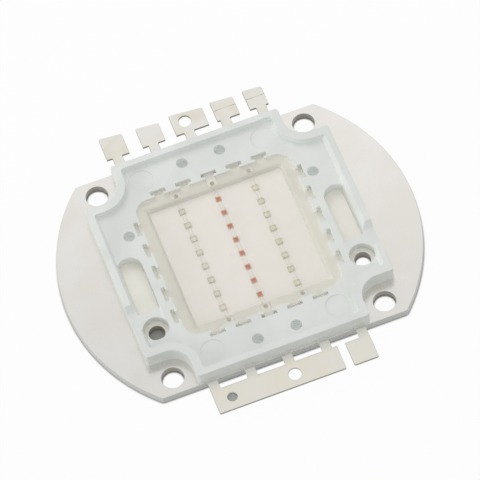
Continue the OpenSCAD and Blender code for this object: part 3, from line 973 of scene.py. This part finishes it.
class LED_OT_dress_plate(bpy.types.Operator):
    """Give the base plate its plated face and sheared edges"""

    bl_idname = "led.dress_plate"
    bl_label = "Base plate"

    def paint_near_shade(self, tree, look):
        """Paints shade into the plating, growing from the far side to the near one."""
        along = vector_math(tree, "DOT_PRODUCT", object_place(tree), SHADE_FADING_WAY)
        near = ranged(tree, along, PLATE_REACH.y, -PLATE_REACH.y)
        toned(tree, near, look.near_painted_shade, "MULTIPLY")

    def shade_bores(self, tree, look):
        """Paints shade on the walls of the holes, which lie inside the plate's outline."""
        place = object_place(tree)
        out = vector_math(tree, "LENGTH", vector_math(tree, "MULTIPLY", place, (1, 1, 0)))
        reach_x, reach_y = (reach - BORE_MARGIN for reach in PLATE_REACH.xy)
        in_round = arithmetic(tree, "LESS_THAN", out, reach_x)
        in_flats = inner_room(tree, place, reach_x, reach_y, lowest=-PLATE_TOP)
        inside = arithmetic(tree, "MULTIPLY", in_round, in_flats)
        toned(tree, arithmetic(tree, "MULTIPLY", inside, upright_walls(tree)), look.bore_shade)

    def execute(self, context):
        look = settings("plate")
        plate = rounded_copy("base_plate", "plated_base", lambda edge: look.edge, PLATE_CREASE)
        plating = plated_material("Plated copper", look, look.face, look.patch)
        tree = plating.node_tree
        # Painted shade, darker towards the near side
        self.paint_near_shade(tree, look)
        dull_within(tree, RIM_REACH, look.window, look.window_patch)
        moulded = inner_room(tree, object_place(tree), RIM_REACH)
        # Painted light on the window face, offsetting the shade close to the moulding
        paint_where_closed_in(tree, look.window_painted_light, look.painted_light_reach, most_open=0.9, least_open=0.3, within=moulded)
        dull_within(tree, TRAY_REACH, look.die_pad, look.die_pad_patch)
        # Painted shade in the holes
        self.shade_bores(tree, look)
        plate.data.materials.append(plating)
        dress(plate, "plated_copper", "base_plate")
        return {"FINISHED"}


class LED_OT_dress_moulding(bpy.types.Operator):
    """Round the moulded frame's edges and give it its plastic"""

    bl_idname = "led.dress_moulding"
    bl_label = "Moulded frame"

    def rounding(self, edge):
        """The radius of an edge: none where the moulding sits on the plate and holds the leads."""
        look = settings("moulding")
        low, high = sorted(vert.co.z for vert in edge.verts)
        if high < PLATE_TOP + MERGE_DISTANCE:
            return 0.0
        if low > LEAD_BOTTOM - MERGE_DISTANCE and high < LEAD_TOP + MERGE_DISTANCE:
            return 0.0
        if low > RIM_TOP - MERGE_DISTANCE:
            return look.rim_edge
        if high - low > UPRIGHT_RISE:
            reach = max(abs(c) for vert in edge.verts for c in vert.co.xy)
            return look.pocket_edge if reach < POCKET_LIMIT else look.corner_edge
        return look.floor_edge

    def execute(self, context):
        moulding = rounded_copy("moulded_frame", "moulding", self.rounding, MOULDING_CREASE)
        moulding.data.materials.append(plastic_material())
        dress(moulding, "frame_plastic", "moulded_frame")
        return {"FINISHED"}


class LED_OT_dress_leads(bpy.types.Operator):
    """Give the leads their rolled edges and tarnished plating"""

    bl_idname = "led.dress_leads"
    bl_label = "Leads"

    def score_fold(self, mesh, depth):
        """Cuts a fine groove along the bend of a folded tab, where the lead has one."""
        solid = bmesh.new()
        solid.from_mesh(mesh)
        bend = [
            edge for edge in solid.edges
            if min(face.normal.z for face in edge.link_faces) > math.cos(FOLD_LIMIT)
            and edge.calc_face_angle() > FOLD_LEAST
        ]
        if bend:
            made = bmesh.ops.bevel(solid, geom=bend, offset=depth, segments=2, profile=0.5,
                                   affect="EDGES", loop_slide=False)
            edges = {edge for face in made["faces"] for edge in face.edges}
            shared = [edge for edge in edges if all(f in made["faces"] for f in edge.link_faces)]
            bottom = {vert for edge in shared for vert in edge.verts if edge.calc_length() > depth}
            bmesh.ops.translate(solid, verts=list(bottom), vec=(0, 0, -depth))
            solid.to_mesh(mesh)
        solid.free()

    def execute(self, context):
        look = settings("leads")
        rows = (("Far", FAR_LEADS, look.far_face), ("Near", NEAR_LEADS, look.near_face))
        for row, nodes, face in rows:
            plating = plated_material(row + " lead plating", look, face, look.tarnish)
            tree = plating.node_tree
            if row == "Near":
                # Painted reflection of the moulding's near wall on the necks, grey a little away from it
                # and pale right at it
                paint_where_closed_in(tree, look.neck_reflection, look.reflection_reach, most_open=0.97, least_open=0.78)
                paint_where_closed_in(tree, look.root, look.reflection_reach, most_open=0.745, least_open=0.7)
            dull_within(tree, TRAY_REACH, look.dull, look.dull_patch)
            for node in nodes:
                lead = rounded_copy(node, node + "_strip", lambda edge: look.edge, LEAD_CREASE)
                self.score_fold(lead.data, look.score)
                lead.data.materials.append(plating)
                dress(lead, "lead_strip", node)
        return {"FINISHED"}


class LED_OT_lay_dies(bpy.types.Operator):
    """Lay the three strings of dies"""

    bl_idname = "led.lay_dies"
    bl_label = "Dies"

    def execute(self, context):
        look, wires = settings("dies"), settings("wires")
        tree = die_tree()
        pads = thin_metal_material("Bond pads", look.pad, left=0.8, roughness=0.35)
        for string in STRINGS:
            nodes, pitch = dies_of(string)
            low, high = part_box(nodes[0])
            body, mesa = (getattr(look, f"{string}_{part}") for part in ("body", "mesa"))
            dies = grown(string + "_dies", tree, {
                "Count": len(nodes), "Pitch": pitch, "First": middle_at(nodes[0], low.z),
                "Width": high.x - low.x, "Height": high.z - low.z,
                "Mesa inset": look.mesa_inset, "Mesa rise": look.mesa_rise,
                "Pad diameter": look.pad_d, "Pad gap": wires.gap, "Pad foot": wires.foot,
                "Body": die_material(string.title() + " die body", body, left=0.85),
                "Mesa": die_material(string.title() + " die face", mesa, left=0.88),
                "Pads": pads,
            })
            dress(dies, string + "_die", *nodes)
        return {"FINISHED"}


class LED_OT_bond_wires(bpy.types.Operator):
    """Loop the bond wires from die to die and out to the leads"""

    bl_idname = "led.bond_wires"
    bl_label = "Bond wires"

    def execute(self, context):
        look = settings("wires")
        tree = wire_tree()
        gold = thin_metal_material("Bond wire", look.gold, left=0.85, roughness=0.3)
        stitch = thin_metal_material("Stitch spot", look.stitch, left=0.75, roughness=0.5)
        for string in STRINGS:
            nodes, pitch = dies_of(string)
            die_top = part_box(nodes[0])[1].z
            first, last = middle_at(nodes[0], die_top), middle_at(nodes[-1], die_top)
            low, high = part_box(string + "_bond_wires")
            width = high.x - low.x
            wires = grown(string + "_wires", tree, {
                "Gaps": len(nodes) - 1, "Pitch": pitch, "First": first, "Last": last,
                "Far stitch": Vector((first.x, high.y - width / 2, LEAD_TOP)),
                "Near stitch": Vector((first.x, low.y + width / 2, LEAD_TOP)),
                "Foot": look.foot, "Pair gap": look.gap, "Diameter": look.diameter,
                "Rise": look.rise, "End rise": look.end_rise, "Ball diameter": look.ball_d,
                "Stitch size": (width, width, 2 * look.stitch_rise),
                "Wire": gold, "Stitch": stitch,
            })
            dress(wires, "gold_wire", string + "_bond_wires")
        return {"FINISHED"}


class LED_OT_pour_silicone(bpy.types.Operator):
    """Fill the tray with clear silicone"""

    bl_idname = "led.pour_silicone"
    bl_label = "Silicone"

    def flat_plans(self, chosen):
        """Plans, anticlockwise from above, of those flat faces of the CAD node that a test picks."""
        solid = merged_solid(NODES["silicone"].data)
        others = [face for face in solid.faces if not chosen(face.normal, face.calc_center_median())]
        bmesh.ops.delete(solid, geom=others, context="FACES")
        join_flat_faces(solid)
        plans = []
        for face in solid.faces:
            points = [vert.co.copy() for vert in face.verts]
            plans.append(points if face.normal.z > 0 else points[::-1])
        solid.free()
        return plans

    def top(self):
        """The plan of the filling's top."""
        plans = self.flat_plans(lambda normal, middle: middle.z > FILL_TOP - MERGE_DISTANCE)
        if len(plans) != 1:
            raise RuntimeError("the filling's top isn't one flat face")
        return plans[0]

    def wells(self):
        """The plans of the anchor slots' floors, where the filling goes below the ledge."""
        return self.flat_plans(lambda normal, middle: (
            normal.z < LOOKS_DOWN and middle.z < LEAD_TOP - MERGE_DISTANCE
            and max(abs(middle.x), abs(middle.y)) > SLOT_LIMIT
        ))

    def pocket(self):
        """Half widths and heights of the die pocket's three levels, from the CAD node's corners."""
        corners = {
            (round(vert.co.x / MERGE_DISTANCE), round(vert.co.z / MERGE_DISTANCE))
            for vert in NODES["silicone"].data.vertices
            if vert.co.x > 0 and abs(vert.co.x - vert.co.y) < MERGE_DISTANCE
        }
        return [(x * MERGE_DISTANCE, z * MERGE_DISTANCE) for x, z in sorted(corners)[:3]]

    def execute(self, context):
        look = settings("silicone")
        plan = grown_plan(self.top(), look.seat)
        slab = stacked("clear_filling", [
            at_level(plan, LEAD_TOP - look.seat),
            at_level(plan, FILL_TOP),
        ])
        inside = (LEAD_TOP + FILL_TOP) / 2
        foot, edge, bevel = self.pocket()
        levels = [(foot[0], PLATE_TOP - look.seat), edge, bevel, (bevel[0], inside)]
        deeper = [[
            grown_plan([Vector((sx * half, sy * half, z)) for sx, sy in SQUARE], look.seat)
            for half, z in levels
        ]]
        for floor in self.wells():
            plan = grown_plan(floor, look.seat)
            deeper.append([at_level(plan, floor[0].z - look.seat), at_level(plan, inside)])
        below = stacked("Below the ledge", *deeper)
        union = slab.modifiers.new("Below the ledge", "BOOLEAN")
        union.operation = "UNION"
        union.solver = "EXACT"
        union.object = below
        settle(slab)
        bpy.data.objects.remove(below)
        slab.data.shade_flat()
        slab.data.materials.clear()
        slab.data.materials.append(silicone_material())
        dress(slab, "silicone", "silicone")
        return {"FINISHED"}


class LED_OT_set_studio(bpy.types.Operator):
    """Set the floor, the lamps and the camera"""

    bl_idname = "led.set_studio"
    bl_label = "Studio"

    def camera(self, context, look):
        """Looks at the aim from the settings' distance and angles."""
        lens = bpy.data.cameras.new("Photo camera")
        lens.lens = look.lens
        lens.sensor_width = SENSOR_WIDTH
        lens.clip_start = NEAREST_SEEN
        lens.clip_end = FARTHEST_SEEN
        camera = linked("Photo camera", lens)
        level = math.cos(look.elevation)
        back = Vector((math.sin(look.azimuth) * level, -math.cos(look.azimuth) * level,
                       math.sin(look.elevation)))
        level_right = (-back).cross(Vector((0, 0, 1))).normalized()
        level_up = back.cross(level_right)
        right = level_right * math.cos(look.roll) + level_up * math.sin(look.roll)
        up = back.cross(right)
        turned = Matrix((right, up, back)).transposed().to_4x4()
        camera.matrix_world = Matrix.Translation(Vector(look.aim) + back * look.distance) @ turned
        context.scene.camera = camera

    def seen_floor(self, tree, look):
        """How white the floor looks: lowered by painted shade close to the module and under one locating
        hole.
        """
        pins = MOUNTS["locating_holes"]
        # Painted shade spot on the floor under the left locating hole; lit is 1 outside it
        spot = Vector(pins["pos_m"]) - Vector((pins["dims"]["spacing_x_mm"] / 2 * MM, 0, 0))
        away = vector_math(tree, "DISTANCE", object_place(tree), (spot.x, spot.y, 0))
        start, end = (radii * pins["dims"]["hole_r_mm"] * MM for radii in PIN_PAINTED_SHADE)
        lit = ranged(tree, away, start, end)
        # Painted contact shade: less white where the module closes the floor in
        free_of_contact_shade = ranged(tree, openness(tree, look.contact_shade), start=0.5, end=0.9)
        return arithmetic(tree, "MULTIPLY", arithmetic(tree, "MULTIPLY", lit, free_of_contact_shade), look.glow)

    def sheet(self, name, solid, place, material):
        """A flat sheet of the studio, which is no part of the module."""
        bmesh.ops.translate(solid, verts=solid.verts, vec=place)
        mesh = keep(solid, bpy.data.meshes.new(name))
        mesh.materials.append(material)
        linked(name, mesh)

    def shade_card(self, look):
        """A small grey card right under the joined bar: painted shade, seen only through the bar's small
        hole.
        """
        hole = MOUNTS["small_wire_hole"]
        radius = SHADE_CARD_SPREAD * hole["dims"]["r_mm"] * MM
        disc = bmesh.new()
        bmesh.ops.create_circle(disc, cap_ends=True, segments=32, radius=radius)
        grey = wandering_material("Grey card", look.shade_card, left=0.95, size=0.3 * MM, Roughness=0.9)
        self.sheet("Card", disc, Vector((*hole["pos_m"][:2], LEAD_BOTTOM - SHADE_CARD_GAP)), grey)

    def floor(self, look):
        """Paper that looks white to the camera, with painted shade close to the module and under one
        locating hole.
        """
        square = bmesh.new()
        bmesh.ops.create_grid(square, x_segments=1, y_segments=1, size=FLOOR_SIZE)
        material, tree = new_material("Paper floor")
        tree.nodes.remove(principled(tree))
        paper = first_out(tree, "ShaderNodeBsdfDiffuse", {"Color": (*look.paper, 1)})
        white = first_out(tree, "ShaderNodeEmission", {"Strength": 1.0})
        seen = any_ray(tree, "Camera", "Glossy", "Transmission")
        seen = arithmetic(tree, "MULTIPLY", seen, self.seen_floor(tree, look))
        two_shaders(tree, seen, paper, white)
        self.sheet("Floor", square, Vector((0, 0, -FLOOR_GAP)), material)

    def surroundings(self, context, look):
        """Plain white to the camera, the sheen to metal and silicone, and the fill to all else."""
        world = bpy.data.worlds.new("Studio")
        world.use_nodes = True
        tree = world.node_tree
        level = varied(tree, any_ray(tree, "Glossy", "Transmission"), look.fill, look.sheen)
        strength = arithmetic(tree, "MAXIMUM", level, any_ray(tree, "Camera"))
        background = tree.nodes["Background"]
        background.inputs["Color"].default_value = (1, 1, 1, 1)
        tree.links.new(strength, background.inputs["Strength"])
        context.scene.world = world

    def lamp(self, name, watts, size, place):
        """A round soft lamp that faces the origin, and that metal doesn't mirror."""
        light = bpy.data.lights.new(name, "AREA")
        light.shape = "DISK"
        light.size = size
        light.energy = watts
        lamp = linked(name, light)
        spot = Vector(place)
        facing = (-spot).to_track_quat("-Z", "Y").to_matrix().to_4x4()
        lamp.matrix_world = Matrix.Translation(spot) @ facing
        lamp.visible_glossy = lamp.visible_transmission = False

    def execute(self, context):
        look = settings("studio")
        context.scene.view_settings.view_transform = "Standard"
        self.camera(context, look)
        self.floor(look)
        self.shade_card(look)
        self.surroundings(context, look)
        for name, setting, size, place in LAMPS:
            self.lamp(name, getattr(look, setting), size, place)
        return {"FINISHED"}


GROUPS_OF_SETTINGS = {
    "plate": LED_PG_plate,
    "moulding": LED_PG_moulding,
    "leads": LED_PG_leads,
    "dies": LED_PG_dies,
    "wires": LED_PG_wires,
    "silicone": LED_PG_silicone,
    "studio": LED_PG_studio,
}
OPERATORS = (
    LED_OT_dress_plate,
    LED_OT_dress_moulding,
    LED_OT_dress_leads,
    LED_OT_lay_dies,
    LED_OT_bond_wires,
    LED_OT_pour_silicone,
    LED_OT_set_studio,
)


class LED_PT_module(bpy.types.Panel):
    """Steps that dress the LED module, with their settings"""

    bl_label = "LED module"
    bl_idname = "LED_PT_module"
    bl_space_type = "VIEW_3D"
    bl_region_type = "UI"
    bl_category = "LED module"

    def draw(self, context):
        for operator in OPERATORS:
            self.layout.operator(operator.bl_idname)
        for name, group in GROUPS_OF_SETTINGS.items():
            box = self.layout.box()
            box.label(text=group.__doc__)
            for prop in group.__annotations__:
                box.prop(settings(name), prop)


CLASSES = (*GROUPS_OF_SETTINGS.values(), *OPERATORS, LED_PT_module)


def register():
    for cls in CLASSES:
        bpy.utils.register_class(cls)
    for name, group in GROUPS_OF_SETTINGS.items():
        setattr(bpy.types.Scene, "led_" + name, PointerProperty(type=group))


def unregister():
    for name in GROUPS_OF_SETTINGS:
        delattr(bpy.types.Scene, "led_" + name)
    for cls in reversed(CLASSES):
        bpy.utils.unregister_class(cls)


def main():
    register()
    bpy.ops.led.dress_plate()
    bpy.ops.led.dress_moulding()
    bpy.ops.led.dress_leads()
    bpy.ops.led.lay_dies()
    bpy.ops.led.bond_wires()
    bpy.ops.led.pour_silicone()
    bpy.ops.led.set_studio()


if __name__ == "__main__":
    main()
